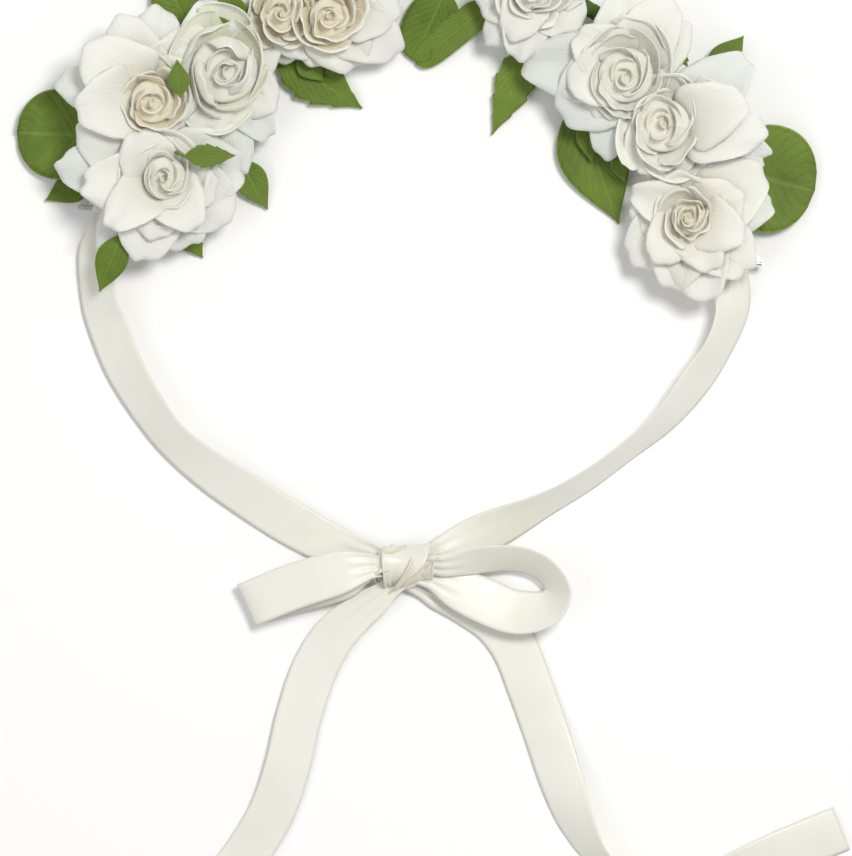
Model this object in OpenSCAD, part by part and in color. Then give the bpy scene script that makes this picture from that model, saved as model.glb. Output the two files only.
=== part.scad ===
// Flower crown: fabric roses and leaves bound to an open wire band,
// closed at the back by two ribbon ties knotted in a bow.
// Millimetres, +Z up, the crown lying on the plane Z = 0.
// The origin is on that plane, midway between the two eyes of the band.
// +Y points to the front of the crown, away from the bow.

/* [Band] */
// Radius of the band's centre line
band_r = 89.6; // [89:0.2:91]
// Height of the band and of the eye bars above the table
band_z = 5.5; // [5.2:0.1:6]
// Diameter of the band wire
wire_d = 1.6; // [1.2:0.1:1.8]
// Outside diameter of the wrapped florist's tape
tape_d = 4.4; // [4:0.1:4.8]
// Distance of the middle of each eye's bar from the centre line
bar_x = 86.6; // [86:0.2:87]
// Width of the flat ring of each eye
eye_w = 1.4; // [1.2:0.1:1.5]
// Thickness of the flat ring of each eye
eye_t = 1.2; // [1:0.1:1.3]
// Length of the straight bar of each eye
bar_len = 16; // [15.6:0.2:17]

/* [Roses] */
// Size of every rose, as a multiple of its own radius
bloom = 1; // [0.9:0.05:1.05]
// Thickness of a petal layer
petal_t = 0.9; // [0.7:0.1:1.1]
// Height of the calyx bottom above the table
calyx_z = 8.5; // [8:0.1:9]
// Diameter of a rose stem
stem_d = 2; // [1.6:0.1:2.4]

/* [Leaves] */
// Thickness of a leaf
leaf_t = 0.7; // [0.5:0.1:0.8]
// Diameter of a leaf's raised midrib
rib_d = 0.6; // [0.5:0.1:0.8]
// Diameter of a leaf's wire stalk
stalk_d = 0.36; // [0.3:0.02:0.4]

/* [Ribbon] */
// Width of the satin ribbon
ribbon_w = 12.7; // [12:0.1:13]
// Thickness of the ribbon
ribbon_t = 0.5; // [0.4:0.05:0.6]
// Running clearance of the sewn ribbon end round its bar
sleeve_gap = 0.3; // [0.2:0.05:0.4]
// Width of the sewn ribbon end
sleeve_w = 9; // [8:0.1:9.2]

/* [Hidden] */
$fn = 48;
rose_count = 10;
rose_parts = ["calyx", "outer_petals", "inner_petals", "bud"];
spray_count = 9;

// Half the distance between the two eyes, and the band's centre
eye_x = 88.6;
band_y = -sqrt(band_r * band_r - eye_x * eye_x);
// Ends of the tape and of the bare wire core, as angles round the band's centre
tape_end = 14.5;
core_end = 20;

// One row for each rose, from the left eye to the right one: angle round the band,
// how far its foot stands inside the band, lean towards the middle, radius, turn
roses = [
  [164, 4, 32, 22, 10],
  [150, -4, 9, 19, 40],
  [137, 3, 25, 18, 0],
  [122, -3, 16, 15, 25],
  [112, 2, 24, 18, 55],
  [92, -4, 7, 18, 15],
  [73, -2, 14, 19, 30],
  [51, 2, 24, 20, 5],
  [36, 0, 21, 18, 50],
  [18, 4, 29, 21, 20]
];
// Half the gap left between the petals of neighbouring roses, in degrees
rose_gap = 0.15;

// Leaves, one list for each spray: foot x, y, z, heading, length, width, droop, and the
// angle round the band where the stalk is bound
sprays = [
  [[-91, 20, 2, 182, 23, 25, 0, 158], [-92, 9, 0.6, 212, 15, 9, 0, 160], [-82, -7, 13.5, 253, 17, 9, 8, 162.5]],
  [[-70, 1, 2.6, 310, 16, 10, 8, 160], [-66.3, 14.7, 15, 8, 15, 8, 4, 157]],
  [[-67.5, 36.6, 29.4, 175, 10, 8, 0, 143.5], [-68, 51, 3, 122, 17, 14, 0, 137]],
  [[-52, 17, 2.4, 304, 16, 9, 6, 150], [-45, 47, 2.6, 333, 29, 15, 4, 127]],
  [[-60.5, 61, 14, 310, 15, 8, 10, 129.5], [-38, 47, 4.4, 318, 10, 7, 4, 122]],
  [[-15, 66, 9, 215, 11, 8, 10, 101], [1, 68, 1.4, 250, 21, 15, 0, 90], [14, 66, 3, 224, 27, 9, 4, 80]],
  [[27, 58, 2, 251, 30, 12, 2, 69], [39, 66, 11, 238, 15, 9, 12, 64]],
  [[39, 41, 2, 295, 36.5, 20, 2, 53], [43, 36, 5, 281, 12, 7, 4, 49], [65, 48, 3.2, 84, 13, 9, 0, 43],
   [76, 50, 4, 56, 15, 9, 0, 40]],
  [[82, 26, 1.8, 350, 26, 30, 0, 26], [52, 27, 7, 290, 8, 5, 6, 38]]
];

// Ribbon routes. Each row is x, y, z of the middle of the ribbon, then the direction
// of its width as a heading and a tilt above the table, then its share of the full width
left_tie_route = [
  [-86.6, -1.3, 5.5, 180, 0, 0.71],
  [-86.6, -5, 5.2, 180, 0, 0.76],
  [-88.6, -13, 4.8, 188, -22, 0.95],
  [-87.5, -25, 5, 200, -37, 1],
  [-84, -33, 4.2, 206, -28, 1],
  [-79, -43, 4.4, 212, -30, 1],
  [-72, -53, 4.9, 218, -36, 1],
  [-64, -62, 5.2, 226, -40, 1],
  [-54, -69, 4.4, 235, -30, 1],
  [-42.2, -75.6, 3, 240, -17, 1],
  [-29, -82.5, 2.2, 243, -12, 1],
  [-17, -87.5, 2.2, 248, -4, 0.87],
  [-7, -90, 3.2, 254, 0, 0.63],
  [-1.4, -91.4, 4, 258, 0, 0.47]
];
right_tie_route = [
  [86.6, -1.3, 5.5, 0, 0, 0.71],
  [86.6, -5, 5.3, 0, 0, 0.76],
  [87.4, -14, 5.6, -10, -38, 0.95],
  [84.5, -24, 5.8, -20, -50, 1],
  [79, -34, 5.6, -30, -46, 1],
  [71.5, -45, 6.1, -38, -56, 1],
  [62, -54.5, 6.4, -46, -64, 1],
  [51, -64, 6.3, -50, -62, 1],
  [40, -71.5, 5.9, -55, -56, 1],
  [29, -78, 4.6, -60, -34, 1],
  [20, -83, 3.8, -62, -10, 0.87],
  [12.5, -87, 4.6, -60, 0, 0.63],
  [7, -90, 5, -56, 0, 0.47]
];
left_loop_route = [
  [-4.6, -92.2, 9, 110, 0, 0.47],
  [-8, -92.6, 9.8, 110, 0, 0.63],
  [-15, -94.8, 10.4, 112, 0, 0.94],
  [-27, -99.6, 9.2, 116, 0, 1],
  [-36.5, -104.4, 7.2, 120, 0, 1],
  [-39.5, -106, 5, 120, 0, 1],
  [-36.5, -104.6, 3, 120, 0, 1],
  [-26, -100.6, 3.4, 114, 0, 1],
  [-14, -96.6, 5.2, 110, 0, 0.9],
  [-9, -94.4, 6.2, 110, 0, 0.6],
  [-5, -93, 6.8, 110, 0, 0.39]
];
right_loop_route = [
  [10.4, -90.6, 8.4, 92, 20, 0.47],
  [14.6, -90.4, 8.8, 92, 34, 0.63],
  [23.5, -88.2, 8.6, 90, 48, 0.94],
  [32.5, -86.9, 8.3, 80, 54, 1],
  [39.6, -88.2, 8.2, 62, 57, 1],
  [44.3, -91.8, 8, 34, 58, 1],
  [45.8, -96, 7.6, 2, 54, 1],
  [42.6, -100.2, 6.8, -42, 40, 1],
  [34.4, -101.6, 5.6, -74, 18, 1],
  [25, -98.9, 5.2, -98, 10, 1],
  [17, -96.4, 5.4, -102, 5, 0.82],
  [10.8, -94.6, 5.6, -104, 0, 0.45]
];
left_tail_route = [
  [-0.9, -98.4, 4.4, 142, 0, 0.47],
  [-4, -101.6, 4, 140, 0, 0.63],
  [-9, -106, 3, 142, 0, 0.79],
  [-15, -113, 2, 150, 0, 0.94],
  [-19.6, -123, 1.4, 158, 2, 1],
  [-22.6, -136, 1.6, 166, 6, 1],
  [-24.6, -150, 2, 170, 8, 1],
  [-28, -163, 1.6, 160, 4, 1],
  [-34, -175, 1, 150, 0, 1],
  [-42, -187, 0.8, 142, 0, 1],
  [-53, -198, 0.8, 132, 0, 1],
  [-65, -207, 0.8, 124, 0, 1]
];
right_tail_route = [
  [8.4, -97.6, 2, 62, 0, 0.39],
  [13, -99, 1.4, 66, 0, 0.63],
  [21, -101, 1, 66, 0, 0.87],
  [29.4, -105, 0.8, 52, 0, 1],
  [35.6, -112, 0.8, 34, 0, 1],
  [40.6, -122, 0.8, 24, 0, 1],
  [46, -134, 1, 22, 4, 1],
  [51.4, -147, 2.2, 22, 16, 1],
  [56.6, -158.4, 4, 28, 40, 1],
  [64.4, -168.4, 6, 44, 62, 1],
  [76, -174.6, 6.4, 76, 66, 1],
  [90, -173, 5.2, 104, 46, 1],
  [104, -167, 3, 112, 20, 1],
  [116, -161, 1.6, 116, 6, 1],
  [130, -154, 1, 118, 0, 1]
];

// Knot: a short crowned barrel lying along the bow, with one wrap round it
knot_pos = [2.8, -92.9, 5.6];
knot_turn = 4;
knot_len = 11;
knot_r = 5;
wrap_lean = 28;

function rose_name(i, part) = str("rose_", i + 1, "_", part);
function spray_name(i) = str("leaf_spray_", i + 1);

// ---- helpers ----

function polar(r, angle) = [r * cos(angle), r * sin(angle)];
function unit(v) = v / norm(v);

// A point on the band's centre line, moved in towards the middle by inset
function band_point(angle, inset = 0) =
  let (p = polar(band_r - inset, angle)) [p[0], band_y + p[1], band_z];

// A round bar between two points
module rod(from, to, d) {
  v = to - from;
  translate(from)
    rotate([0, acos(v[2] / norm(v)), atan2(v[1], v[0])])
      cylinder(h = norm(v), d = d);
}

// A stretch of the band between two angles, with a round section
module band_stretch(from, to, d) {
  translate([0, band_y, band_z])
    rotate([0, 0, from])
      rotate_extrude(angle = to - from, $fn = 120)
        translate([band_r, 0])
          circle(d = d);
}

// The space the tape takes up, cut away from what is bound to it
module tape_space() {
  band_stretch(tape_end, 180 - tape_end, tape_d);
}

// ---- band ----

module band_wire() {
  color("silver") band_stretch(core_end, 180 - core_end, wire_d);
}

module band_tape() {
  color("darkolivegreen")
    difference() {
      tape_space();
      band_stretch(tape_end - 1, 181 - tape_end, wire_d);
    }
}

// A triangular eye: a flat rolled ring with a round bar across the band's end
module eye(side) {
  bar_in = side * (bar_x - bar_len / 2);
  bar_out = side * (bar_x + bar_len / 2);
  throat = band_point(side > 0 ? tape_end - 1 : 181 - tape_end);
  corners = [[bar_in, 0], [bar_out, 0], [throat[0], throat[1]]];
  translate([0, 0, band_z - eye_t / 2])
    linear_extrude(eye_t)
      difference() {
        offset(r = eye_w / 2) polygon(corners);
        offset(delta = -eye_w / 2) polygon(corners);
      }
  rod([bar_in, 0, band_z], [bar_out, 0, band_z], wire_d);
  if (side > 0) band_stretch(tape_end - 1, core_end, wire_d);
  else band_stretch(180 - core_end, 181 - tape_end, wire_d);
}

module left_eye() {
  color("silver") eye(-1);
}

module right_eye() {
  color("silver") eye(1);
}

// ---- roses ----

// Moves a rose from its own frame, foot at the origin and face up, to its place
module at_rose(i) {
  foot = band_point(roses[i][0], roses[i][1]);
  translate([foot[0], foot[1], calyx_z])
    rotate([0, 0, roses[i][0]])
      rotate([0, -roses[i][2], 0])
        rotate([0, 0, roses[i][4]])
          children();
}

// Angles of the flat faces where a rose's petals press on its neighbours
function low_side(i) = i == rose_count - 1 ? -40 : (roses[i][0] + roses[i + 1][0]) / 2 + rose_gap;
function high_side(i) = i == 0 ? 220 : (roses[i][0] + roses[i - 1][0]) / 2 - rose_gap;

// The wedge of space that one rose fills
module rose_wedge(i) {
  middle = (low_side(i) + high_side(i)) / 2;
  reach = 2 * band_r;
  translate([0, band_y, 0.2])
    linear_extrude(60)
      polygon([[0, 0], polar(reach, low_side(i)), polar(reach, middle), polar(reach, high_side(i))]);
}

// A round plan with petals for lobes
module lobes(r, count) {
  circle(r * 0.7);
  for (k = [0:count - 1])
    rotate(k * 360 / count)
      translate([r * 0.6, 0])
        circle(r * 0.4);
}

// A layer of petals: a bowl of the given profile, scalloped into petals
module petal_layer(r, count, profile) {
  intersection() {
    rotate_extrude($fn = 72)
      polygon(profile);
    linear_extrude(30)
      lobes(r, count);
  }
}

module rose_calyx(i) {
  color("olivedrab")
    difference() {
      union() {
        at_rose(i)
          rotate_extrude()
            polygon([[0, 0], [1.6, 0], [3.6, 2.4], [3.6, 3.8], [1.5, 3.8], [1.5, 7.5], [0, 7.5]]);
        foot = band_point(roses[i][0], roses[i][1]);
        rod(band_point(roses[i][0]), [foot[0], foot[1], calyx_z + 0.4], stem_d);
      }
      tape_space();
    }
}

// Wide outer petals that open out and roll back at the rim
module rose_outer_petals(i) {
  r = roses[i][3] * bloom;
  color("whitesmoke")
    intersection() {
      at_rose(i)
        petal_layer(r, 6, [
          [1.6, 4], [0.5 * r, 7.4], [0.8 * r, 8], [1.02 * r, 6.4],
          [1.02 * r, 6.4 + petal_t], [0.8 * r, 8 + petal_t], [0.5 * r, 7.4 + petal_t], [1.6, 4 + petal_t]
        ]);
      rose_wedge(i);
    }
}

// Cupped inner petals
module rose_inner_petals(i) {
  r = 0.62 * roses[i][3] * bloom;
  color("ivory")
    intersection() {
      at_rose(i)
        petal_layer(r, 5, [
          [1.6, 5.6], [0.5 * r, 8.8], [0.8 * r, 12], [1.02 * r, 17.5],
          [1.02 * r - petal_t, 17.5], [0.8 * r - petal_t, 12.6], [0.5 * r - petal_t, 9.9], [1.6, 6.8]
        ]);
      rose_wedge(i);
    }
}

// Rolled petals of the heart: curved walls, each turned on from the last, on a common foot
module rose_bud(i) {
  wall_count = 4;
  heart_r = 0.3 * roses[i][3] * bloom;
  wall_step = (heart_r - 2.3) / (wall_count - 1);
  wall_t = 0.6 * wall_step;
  color("antiquewhite")
    at_rose(i) {
      rotate_extrude()
        polygon([[0, 7.6], [1.6, 7.6], [heart_r, 12], [heart_r - petal_t, 12.8], [0, 10]]);
      translate([0, 0, 9])
        cylinder(h = 9, d = 1.8);
      for (k = [0:wall_count - 1]) {
        wall_r = 1.8 + wall_step * k;
        foot_z = 9.2 + 2.8 * wall_r / heart_r;
        rim_z = 17.6 - 0.3 * k;
        rotate([0, 0, 137 * k])
          rotate_extrude(angle = 210)
            polygon([
              [wall_r - wall_t, foot_z], [wall_r, foot_z], [wall_r + 0.2, rim_z],
              [wall_r + 0.2 - wall_t, rim_z]
            ]);
      }
    }
}

// ---- leaves ----

// A pointed blade along +X from the origin, with a raised midrib
module blade(length, width) {
  r = (length * length + width * width) / (4 * width);
  linear_extrude(leaf_t)
    intersection() {
      translate([length / 2, r - width / 2]) circle(r, $fn = 96);
      translate([length / 2, width / 2 - r]) circle(r, $fn = 96);
    }
  translate([2.4, 0, leaf_t])
    rotate([0, 90, 0])
      cylinder(h = 0.8 * length - 2.4, d = rib_d, $fn = 24);
}

module leaf_spray(i) {
  color("forestgreen")
    difference() {
      for (leaf = sprays[i]) {
        foot = [leaf[0], leaf[1], leaf[2]];
        translate(foot)
          rotate([0, leaf[6], leaf[3]])
            blade(leaf[4], leaf[5]);
        tip = foot + 1.9 * [cos(leaf[3]), sin(leaf[3]), 0] + [0, 0, leaf_t];
        rod(band_point(leaf[7]), tip, stalk_d);
      }
      tape_space();
    }
}

// ---- ribbon ----

// A smooth curve through the middle two of four points
function curve(a, b, c, d, t) =
  0.5 * (2 * b + (c - a) * t + (2 * a - 5 * b + 4 * c - d) * t * t + (3 * b - a - 3 * c + d) * t * t * t);
function route(p, steps) = [
  for (i = [0:len(p) - 2], k = [0:steps - 1])
    curve(p[max(i - 1, 0)], p[i], p[i + 1], p[min(i + 2, len(p) - 1)], k / steps),
  p[len(p) - 1]
];
function middle(p, i) = [p[i][0], p[i][1], p[i][2]];
function run(p, i) = unit(middle(p, min(i + 1, len(p) - 1)) - middle(p, max(i - 1, 0)));
function across(p, i) =
  let (w = [cos(p[i][3]) * cos(p[i][4]), sin(p[i][3]) * cos(p[i][4]), sin(p[i][4])], t = run(p, i))
    unit(w - (w * t) * t);
function section(p, i) =
  let (c = middle(p, i), a = across(p, i))
    let (w = a * p[i][5] * ribbon_w / 2, n = cross(run(p, i), a) * ribbon_t / 2)
      [c - w - n, c + w - n, c + w + n, c - w + n];

// A flat ribbon swept along a route
module ribbon(points, steps = 3) {
  p = route(points, steps);
  last = len(p) - 1;
  polyhedron(
    points = [for (i = [0:last]) each section(p, i)],
    faces = concat(
      [[0, 1, 2, 3], [4 * last + 3, 4 * last + 2, 4 * last + 1, 4 * last]],
      [for (i = [0:last - 1], k = [0:3]) [4 * i + k, 4 * i + k + 4, 4 * i + (k + 1) % 4 + 4]],
      [for (i = [0:last - 1], k = [0:3]) [4 * i + k, 4 * i + (k + 1) % 4 + 4, 4 * i + (k + 1) % 4]]
    )
  );
}

// A tie with its sewn end running round the bar of its eye
module tie(side, points) {
  bore = wire_d + 2 * sleeve_gap;
  translate([side * bar_x - sleeve_w / 2, 0, band_z])
    rotate([0, 90, 0])
      difference() {
        cylinder(h = sleeve_w, d = bore + 2 * ribbon_t);
        translate([0, 0, -1]) cylinder(h = sleeve_w + 2, d = bore);
      }
  ribbon(points);
}

module left_tie() {
  color("ivory") tie(-1, left_tie_route);
}

module right_tie() {
  color("ivory") tie(1, right_tie_route);
}

module bow_knot() {
  color("linen")
    translate(knot_pos)
      rotate([0, 0, knot_turn]) {
        rotate([0, 90, 0])
          rotate_extrude()
            polygon([
              [0, -knot_len / 2], [0.6 * knot_r, -knot_len / 2], [0.92 * knot_r, -knot_len / 4],
              [knot_r, 0], [0.92 * knot_r, knot_len / 4], [0.6 * knot_r, knot_len / 2],
              [0, knot_len / 2]
            ]);
        rotate([0, 90, wrap_lean])
          cylinder(h = 0.4 * knot_len, r = knot_r + 0.3, center = true);
      }
}

module left_loop() {
  color("ivory") ribbon(left_loop_route, 4);
}

module right_loop() {
  color("ivory") ribbon(right_loop_route, 4);
}

module left_tail() {
  color("ivory") ribbon(left_tail_route);
}

module right_tail() {
  color("ivory") ribbon(right_tail_route);
}

// ---- nodes ----

band_wire();
band_tape();
left_eye();
right_eye();
for (i = [0:rose_count - 1]) {
  rose_calyx(i);
  rose_outer_petals(i);
  rose_inner_petals(i);
  rose_bud(i);
}
for (i = [0:spray_count - 1])
  leaf_spray(i);
left_tie();
right_tie();
bow_knot();
left_loop();
right_loop();
left_tail();
right_tail();
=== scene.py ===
import math
import random

import bpy
from mathutils import Matrix, Vector


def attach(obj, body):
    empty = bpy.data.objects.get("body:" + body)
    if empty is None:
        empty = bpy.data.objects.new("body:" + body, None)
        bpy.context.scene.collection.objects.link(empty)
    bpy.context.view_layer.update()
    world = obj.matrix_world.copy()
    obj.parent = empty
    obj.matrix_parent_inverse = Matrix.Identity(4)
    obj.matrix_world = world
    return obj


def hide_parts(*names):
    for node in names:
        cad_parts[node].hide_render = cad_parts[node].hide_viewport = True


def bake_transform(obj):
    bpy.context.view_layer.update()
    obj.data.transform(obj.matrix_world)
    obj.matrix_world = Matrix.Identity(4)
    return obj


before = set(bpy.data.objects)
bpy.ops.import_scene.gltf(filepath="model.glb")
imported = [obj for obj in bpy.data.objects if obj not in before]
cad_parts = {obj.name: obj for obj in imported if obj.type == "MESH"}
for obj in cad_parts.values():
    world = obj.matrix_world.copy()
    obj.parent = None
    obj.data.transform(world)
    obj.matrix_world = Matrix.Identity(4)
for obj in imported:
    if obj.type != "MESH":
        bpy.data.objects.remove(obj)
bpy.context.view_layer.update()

MM = 0.001

# ---------------------------------------------------------------- frame sizes

BAND_R = 89.6
EYE_X = 88.6
BAR_X = 86.6
BAND_Y = -math.sqrt(BAND_R ** 2 - EYE_X ** 2)
BAND_Z = 5.5
TAPE_END = 14.5
TAPE_R = 2.2


def polar(r, degrees):
    a = math.radians(degrees)
    return Vector((r * math.cos(a), r * math.sin(a), 0))


def band_point(degrees):
    return polar(BAND_R, degrees) + Vector((0, BAND_Y, BAND_Z))


def smooth(t):
    t = min(1.0, max(0.0, t))
    return t * t * (3 - 2 * t)


def mix(a, b, t):
    return a + (b - a) * t


# ---------------------------------------------------------------- camera, light, floor

VIEW_TURN = 4.8
VIEW_MIDDLE = Vector((5.8, -53.0, 8.0))
VIEW_HEIGHT = 236.3
LENS = 200
WORLD_STRENGTH = 0.44
FLOOR_HALF = 4.0
FLOOR_DROP = 0.0002


def make_camera():
    data = bpy.data.cameras.new("camera")
    data.lens = LENS
    data.sensor_width = 36
    cam = bpy.data.objects.new("camera", data)
    bpy.context.scene.collection.objects.link(cam)
    distance = LENS / data.sensor_width * VIEW_HEIGHT
    cam.location = (VIEW_MIDDLE + Vector((0, 0, distance))) * MM
    cam.rotation_euler = (0, 0, math.radians(VIEW_TURN))
    data.clip_start = 0.05
    data.clip_end = 20
    bpy.context.scene.camera = cam


def make_light(name, place, size, watts, colour):
    data = bpy.data.lights.new(name, "AREA")
    data.shape = "DISK"
    data.size = size
    data.energy = watts
    data.color = colour
    lamp = bpy.data.objects.new(name, data)
    lamp.location = place
    aim = Vector((0.0, -0.04, 0.0)) - Vector(place)
    lamp.rotation_euler = aim.to_track_quat("-Z", "Y").to_euler()
    bpy.context.scene.collection.objects.link(lamp)


def make_stage():
    world = bpy.data.worlds.new("studio")
    world.use_nodes = True
    world.node_tree.nodes["Background"].inputs["Color"].default_value = (1, 1, 1, 1)
    world.node_tree.nodes["Background"].inputs["Strength"].default_value = WORLD_STRENGTH
    bpy.context.scene.world = world
    make_light("key", (0.30, 0.30, 1.1), 0.34, 8.6, (1.0, 0.985, 0.955))
    make_light("fill", (-0.7, -0.3, 1.0), 0.9, 2.6, (1.0, 0.99, 0.97))
    mesh = bpy.data.meshes.new("floor")
    corners = [(x * FLOOR_HALF, y * FLOOR_HALF, 0) for x, y in ((-1, -1), (1, -1), (1, 1), (-1, 1))]
    mesh.from_pydata(corners, [], [(0, 1, 2, 3)])
    floor = bpy.data.objects.new("floor", mesh)
    floor.location = (0, 0, -FLOOR_DROP)
    bpy.context.scene.collection.objects.link(floor)
    paper = bpy.data.materials.new("paper")
    paper.use_nodes = True
    shader = paper.node_tree.nodes["Principled BSDF"]
    shader.inputs["Base Color"].default_value = (0.94, 0.94, 0.94, 1)
    shader.inputs["Roughness"].default_value = 0.9
    shader.inputs["Specular IOR Level"].default_value = 0.1
    floor.data.materials.append(paper)


# ---------------------------------------------------------------- materials


class Look:
    """A node material under construction. Every call makes a node and returns an output."""

    def __init__(self, name, roughness, specular=0.3, metallic=0.0):
        self.material = bpy.data.materials.new(name)
        self.material.use_nodes = True
        self.tree = self.material.node_tree
        self.shader = self.tree.nodes["Principled BSDF"]
        self.set("Roughness", roughness)
        self.set("Specular IOR Level", specular)
        self.set("Metallic", metallic)

    def set(self, socket, value):
        self.shader.inputs[socket].default_value = value

    def join(self, output, socket):
        self.tree.links.new(output, socket)

    def feed(self, output, socket):
        self.join(output, self.shader.inputs[socket])

    def attribute(self, name):
        node = self.tree.nodes.new("ShaderNodeAttribute")
        node.attribute_name = name
        return node.outputs["Fac"]

    def uv(self):
        node = self.tree.nodes.new("ShaderNodeUVMap")
        split = self.tree.nodes.new("ShaderNodeSeparateXYZ")
        self.join(node.outputs["UV"], split.inputs[0])
        return node.outputs["UV"], split.outputs["X"], split.outputs["Y"]

    def place(self):
        return self.tree.nodes.new("ShaderNodeTexCoord").outputs["Object"]

    def math(self, kind, a, b=0.0):
        node = self.tree.nodes.new("ShaderNodeMath")
        node.operation = kind
        for socket, value in zip(node.inputs, (a, b)):
            if isinstance(value, (int, float)):
                socket.default_value = value
            else:
                self.join(value, socket)
        return node.outputs[0]

    def noise(self, vector, scale, detail=3.0, rough=0.55, stretch=None):
        node = self.tree.nodes.new("ShaderNodeTexNoise")
        node.inputs["Scale"].default_value = scale
        node.inputs["Detail"].default_value = detail
        node.inputs["Roughness"].default_value = rough
        if stretch:
            mapping = self.tree.nodes.new("ShaderNodeMapping")
            mapping.inputs["Scale"].default_value = stretch
            self.join(vector, mapping.inputs["Vector"])
            vector = mapping.outputs["Vector"]
        self.join(vector, node.inputs["Vector"])
        return node.outputs["Fac"]

    def ramp(self, value, stops):
        node = self.tree.nodes.new("ShaderNodeValToRGB")
        ramp = node.color_ramp
        while len(ramp.elements) < len(stops):
            ramp.elements.new(0.5)
        for element, (place, colour) in zip(ramp.elements, stops):
            element.position = place
            element.color = (*colour, 1)
        self.join(value, node.inputs["Fac"])
        return node.outputs["Color"]

    def blend(self, factor, a, b, kind="MIX"):
        node = self.tree.nodes.new("ShaderNodeMix")
        node.data_type = "RGBA"
        node.blend_type = kind
        if isinstance(factor, (int, float)):
            node.inputs[0].default_value = factor
        else:
            self.join(factor, node.inputs[0])
        for socket, value in ((node.inputs[6], a), (node.inputs[7], b)):
            if isinstance(value, tuple):
                socket.default_value = (*value, 1)
            else:
                self.join(value, socket)
        return node.outputs[2]

    def bump(self, height, strength, distance, before=None):
        node = self.tree.nodes.new("ShaderNodeBump")
        node.inputs["Strength"].default_value = strength
        node.inputs["Distance"].default_value = distance
        self.join(height, node.inputs["Height"])
        if before is not None:
            self.join(before, node.inputs["Normal"])
        return node.outputs["Normal"]


# Painted shade: petals marked as shaded are mixed towards this cool grey-green, as a petal lying in shadow
# looks
PAINTED_PETAL_SHADE = (0.64, 0.71, 0.68)
PAINTED_RIM_LIGHT = (0.88, 0.88, 0.84)


def petal_look(name, deep, body, rim, deep_end):
    """Thin cut fabric: its dye darkened with painted shade towards the foot, a painted light line along the
    rim, painted shade on petals marked as shaded, and fine pressed ridges.
    """
    look = Look(name, 0.85, 0.16)
    look.set("Sheen Weight", 0.10)
    look.set("Sheen Roughness", 0.5)
    look.set("Subsurface Weight", 0.25)
    look.set("Subsurface Radius", (0.0045, 0.0045, 0.0035))
    look.set("Subsurface Scale", 0.5)
    uv, across, along = look.uv()
    cloud = look.noise(look.place(), 90, 4)
    depth = look.attribute("depth")
    wander = look.math("MULTIPLY", look.math("SUBTRACT", cloud, 0.5), 0.2)
    # Foot-to-rim colour: partly the petal's own dye, partly painted shade darkening and warming the foot
    # down in the recess
    colour = look.ramp(look.math("ADD", depth, wander), [(0.0, deep), (deep_end, body), (1.0, rim)])
    # Painted shade: the lower a petal's shade value, the more it is mixed towards the cool shade colour
    painted_shade = look.math("MULTIPLY", look.math("SUBTRACT", 1.0, look.attribute("shade_and_tint")), 0.6)
    colour = look.blend(painted_shade, colour, PAINTED_PETAL_SHADE)
    # Painted light: a pale line along the rim and tip, as light shining through the thin edge
    off_mid = look.math("ABSOLUTE", look.math("SUBTRACT", across, 0.5))
    edge = look.math("MAXIMUM", look.math("MULTIPLY", off_mid, 2.0), along)
    edge = look.math("MULTIPLY", look.math("GREATER_THAN", edge, 0.962), 0.7)
    look.feed(look.blend(edge, colour, PAINTED_RIM_LIGHT), "Base Color")
    ridges = look.noise(uv, 1.0, 2, 0.5, (26, 1.3, 1))
    weave = look.noise(look.place(), 2600, 2, 0.6)
    first = look.bump(ridges, 0.4, 0.0006)
    look.feed(look.bump(weave, 0.10, 0.0002, first), "Normal")
    return look.material


def leaf_look():
    """Dyed leaf fabric: a pale midrib and side veins, blotchy greens and a pale cut edge."""
    look = Look("leaf_fabric_look", 0.62, 0.3)
    look.set("Sheen Weight", 0.08)
    _, across, along = look.uv()
    off_mid = look.math("ABSOLUTE", look.math("SUBTRACT", across, 0.5))
    cloud = look.noise(look.place(), 70, 5, 0.6)
    greens = [(0.3, (0.062, 0.105, 0.007)), (0.55, (0.118, 0.190, 0.014)), (0.78, (0.175, 0.262, 0.032))]
    base = look.ramp(cloud, greens)
    shade_and_tint = look.attribute("shade_and_tint")
    base = look.blend(shade_and_tint, base, (0.170, 0.250, 0.040))
    slant = look.math("SUBTRACT", look.math("MULTIPLY", along, 9.0), look.math("MULTIPLY", off_mid, 7.0))
    vein = look.math("ABSOLUTE", look.math("SUBTRACT", look.math("FRACT", slant), 0.5))
    veins = look.math("LESS_THAN", vein, 0.06)
    midrib = look.math("LESS_THAN", off_mid, 0.022)
    lines = look.math("MAXIMUM", look.math("MULTIPLY", veins, 0.35), midrib)
    colour = look.blend(look.math("MULTIPLY", lines, 0.2), base, (0.26, 0.40, 0.09))
    edge = look.math("GREATER_THAN", off_mid, 0.485)
    colour = look.blend(look.math("MULTIPLY", edge, 0.5), colour, (0.36, 0.50, 0.14))
    look.feed(colour, "Base Color")
    crease = look.math("MINIMUM", look.math("MULTIPLY", vein, 4.0), look.math("MULTIPLY", off_mid, 14.0))
    first = look.bump(look.math("MINIMUM", crease, 1.0), 0.35, 0.0006)
    grain = look.noise(look.place(), 2200, 3, 0.6)
    look.feed(look.bump(grain, 0.2, 0.0002, first), "Normal")
    return look.material


RIB_PITCH = 0.62


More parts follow.
